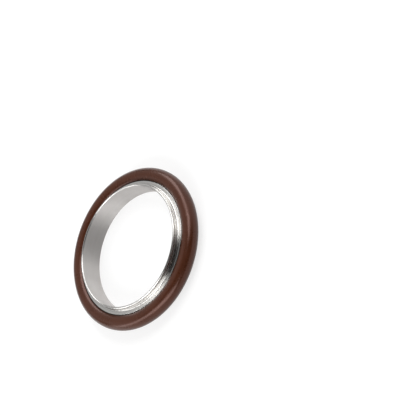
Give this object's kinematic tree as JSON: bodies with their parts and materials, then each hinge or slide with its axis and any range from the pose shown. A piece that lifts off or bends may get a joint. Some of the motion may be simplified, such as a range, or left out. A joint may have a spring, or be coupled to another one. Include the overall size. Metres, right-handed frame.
{
  "type": "vacuum flange centering ring",
  "caption": "Turned stainless centering ring with a brown elastomer O-ring round it, which lines up and seals two clamped small vacuum flanges.",
  "frame": {"origin": "centre of the bore, halfway through the ring's height", "axes": "+Z along the bore; the ring is symmetric about its middle plane, so either end can be up"},
  "size_m": [0.0534, 0.0534, 0.008],
  "materials": {
    "stainless_steel": "fine turned bore, bright turned lips and rib",
    "brown_elastomer": "smooth moulded, soft satin gloss"
  },
  "bodies": {
    "root": {"centering_ring": "stainless_steel", "o_ring": "brown_elastomer"}
  },
  "joints": []
}
